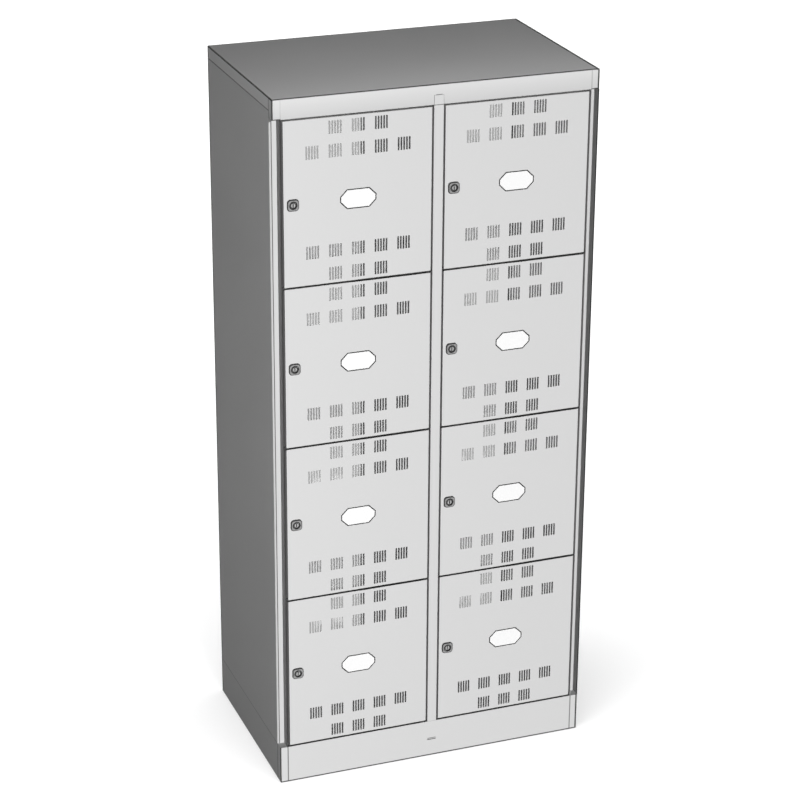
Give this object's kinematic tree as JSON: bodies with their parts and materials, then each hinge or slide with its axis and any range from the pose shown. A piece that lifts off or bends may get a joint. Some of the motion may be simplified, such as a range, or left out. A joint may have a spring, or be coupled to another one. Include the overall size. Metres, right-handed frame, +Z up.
{
  "type": "compartment locker",
  "caption": "Upright sheet steel locker with columns of vented compartment doors, each with a cam lock and a blank label plate, on a plinth base.",
  "frame": {"origin": "centre of the base, on the floor; the depth is centred between the back face and the fronts of the lock bezels", "axes": "+Z up, the doors face -Y, +X to the right when seen from the front"},
  "size_m": [0.8, 0.504, 1.75],
  "materials": {
    "body_paint": "light grey powder coat, satin, fine texture",
    "front_paint": "light grey powder coat, satin, fine texture",
    "door_paint": "light grey powder coat, satin, fine texture",
    "label": "matt white",
    "lock_metal": "dark grey lacquered zinc",
    "lock_core": "worn nickel",
    "zinc": "zinc plated"
  },
  "bodies": {
    "cabinet": {"top_cap": "body_paint", "fascia": "front_paint", "plinth_front": "front_paint", "plinth_rear": "body_paint", "side_panel_left": "body_paint", "side_panel_right": "body_paint", "back_panel": "body_paint", "floor_panel": "body_paint", "stile_left": "front_paint", "stile_right": "front_paint", "center_post": "front_paint", "center_partition": "body_paint", "shelf_left_1": "body_paint", "shelf_left_2": "body_paint", "shelf_left_3": "body_paint", "shelf_right_1": "body_paint", "shelf_right_2": "body_paint", "shelf_right_3": "body_paint", "hinge_rod_left": "zinc", "hinge_rod_right": "zinc"},
    "door_left_1": {"door_left_1": "door_paint", "label_plate_left_1": "label", "lock_body_left_1": "lock_metal"},
    "lock_left_1": {"lock_core_left_1": "lock_core", "lock_cam_left_1": "zinc"},
    "door_left_2": {"door_left_2": "door_paint", "label_plate_left_2": "label", "lock_body_left_2": "lock_metal"},
    "lock_left_2": {"lock_core_left_2": "lock_core", "lock_cam_left_2": "zinc"},
    "door_left_3": {"door_left_3": "door_paint", "label_plate_left_3": "label", "lock_body_left_3": "lock_metal"},
    "lock_left_3": {"lock_core_left_3": "lock_core", "lock_cam_left_3": "zinc"},
    "door_left_4": {"door_left_4": "door_paint", "label_plate_left_4": "label", "lock_body_left_4": "lock_metal"},
    "lock_left_4": {"lock_core_left_4": "lock_core", "lock_cam_left_4": "zinc"},
    "door_right_1": {"door_right_1": "door_paint", "label_plate_right_1": "label", "lock_body_right_1": "lock_metal"},
    "lock_right_1": {"lock_core_right_1": "lock_core", "lock_cam_right_1": "zinc"},
    "door_right_2": {"door_right_2": "door_paint", "label_plate_right_2": "label", "lock_body_right_2": "lock_metal"},
    "lock_right_2": {"lock_core_right_2": "lock_core", "lock_cam_right_2": "zinc"},
    "door_right_3": {"door_right_3": "door_paint", "label_plate_right_3": "label", "lock_body_right_3": "lock_metal"},
    "lock_right_3": {"lock_core_right_3": "lock_core", "lock_cam_right_3": "zinc"},
    "door_right_4": {"door_right_4": "door_paint", "label_plate_right_4": "label", "lock_body_right_4": "lock_metal"},
    "lock_right_4": {"lock_core_right_4": "lock_core", "lock_cam_right_4": "zinc"}
  },
  "joints": [
    {"name": "door_left_1_hinge", "type": "hinge", "parent": "cabinet", "child": "door_left_1", "pos_m": [-0.0228, -0.2415, 1.5], "axis": [0, 0, 1], "range_deg": [0, 105]},
    {"name": "lock_left_1_turn", "type": "hinge", "parent": "door_left_1", "child": "lock_left_1", "pos_m": [-0.3532, -0.248, 1.5], "axis": [0, 1, 0], "range_deg": [0, 90]},
    {"name": "door_left_2_hinge", "type": "hinge", "parent": "cabinet", "child": "door_left_2", "pos_m": [-0.0228, -0.2415, 1.1], "axis": [0, 0, 1], "range_deg": [0, 105]},
    {"name": "lock_left_2_turn", "type": "hinge", "parent": "door_left_2", "child": "lock_left_2", "pos_m": [-0.3532, -0.248, 1.1], "axis": [0, 1, 0], "range_deg": [0, 90]},
    {"name": "door_left_3_hinge", "type": "hinge", "parent": "cabinet", "child": "door_left_3", "pos_m": [-0.0228, -0.2415, 0.7], "axis": [0, 0, 1], "range_deg": [0, 105]},
    {"name": "lock_left_3_turn", "type": "hinge", "parent": "door_left_3", "child": "lock_left_3", "pos_m": [-0.3532, -0.248, 0.7], "axis": [0, 1, 0], "range_deg": [0, 90]},
    {"name": "door_left_4_hinge", "type": "hinge", "parent": "cabinet", "child": "door_left_4", "pos_m": [-0.0228, -0.2415, 0.3], "axis": [0, 0, 1], "range_deg": [0, 105]},
    {"name": "lock_left_4_turn", "type": "hinge", "parent": "door_left_4", "child": "lock_left_4", "pos_m": [-0.3532, -0.248, 0.3], "axis": [0, 1, 0], "range_deg": [0, 90]},
    {"name": "door_right_1_hinge", "type": "hinge", "parent": "cabinet", "child": "door_right_1", "pos_m": [0.3687, -0.2415, 1.5], "axis": [0, 0, 1], "range_deg": [0, 105]},
    {"name": "lock_right_1_turn", "type": "hinge", "parent": "door_right_1", "child": "lock_right_1", "pos_m": [0.0383, -0.248, 1.5], "axis": [0, 1, 0], "range_deg": [0, 90]},
    {"name": "door_right_2_hinge", "type": "hinge", "parent": "cabinet", "child": "door_right_2", "pos_m": [0.3687, -0.2415, 1.1], "axis": [0, 0, 1], "range_deg": [0, 105]},
    {"name": "lock_right_2_turn", "type": "hinge", "parent": "door_right_2", "child": "lock_right_2", "pos_m": [0.0383, -0.248, 1.1], "axis": [0, 1, 0], "range_deg": [0, 90]},
    {"name": "door_right_3_hinge", "type": "hinge", "parent": "cabinet", "child": "door_right_3", "pos_m": [0.3687, -0.2415, 0.7], "axis": [0, 0, 1], "range_deg": [0, 105]},
    {"name": "lock_right_3_turn", "type": "hinge", "parent": "door_right_3", "child": "lock_right_3", "pos_m": [0.0383, -0.248, 0.7], "axis": [0, 1, 0], "range_deg": [0, 90]},
    {"name": "door_right_4_hinge", "type": "hinge", "parent": "cabinet", "child": "door_right_4", "pos_m": [0.3687, -0.2415, 0.3], "axis": [0, 0, 1], "range_deg": [0, 105]},
    {"name": "lock_right_4_turn", "type": "hinge", "parent": "door_right_4", "child": "lock_right_4", "pos_m": [0.0383, -0.248, 0.3], "axis": [0, 1, 0], "range_deg": [0, 90]}
  ]
}
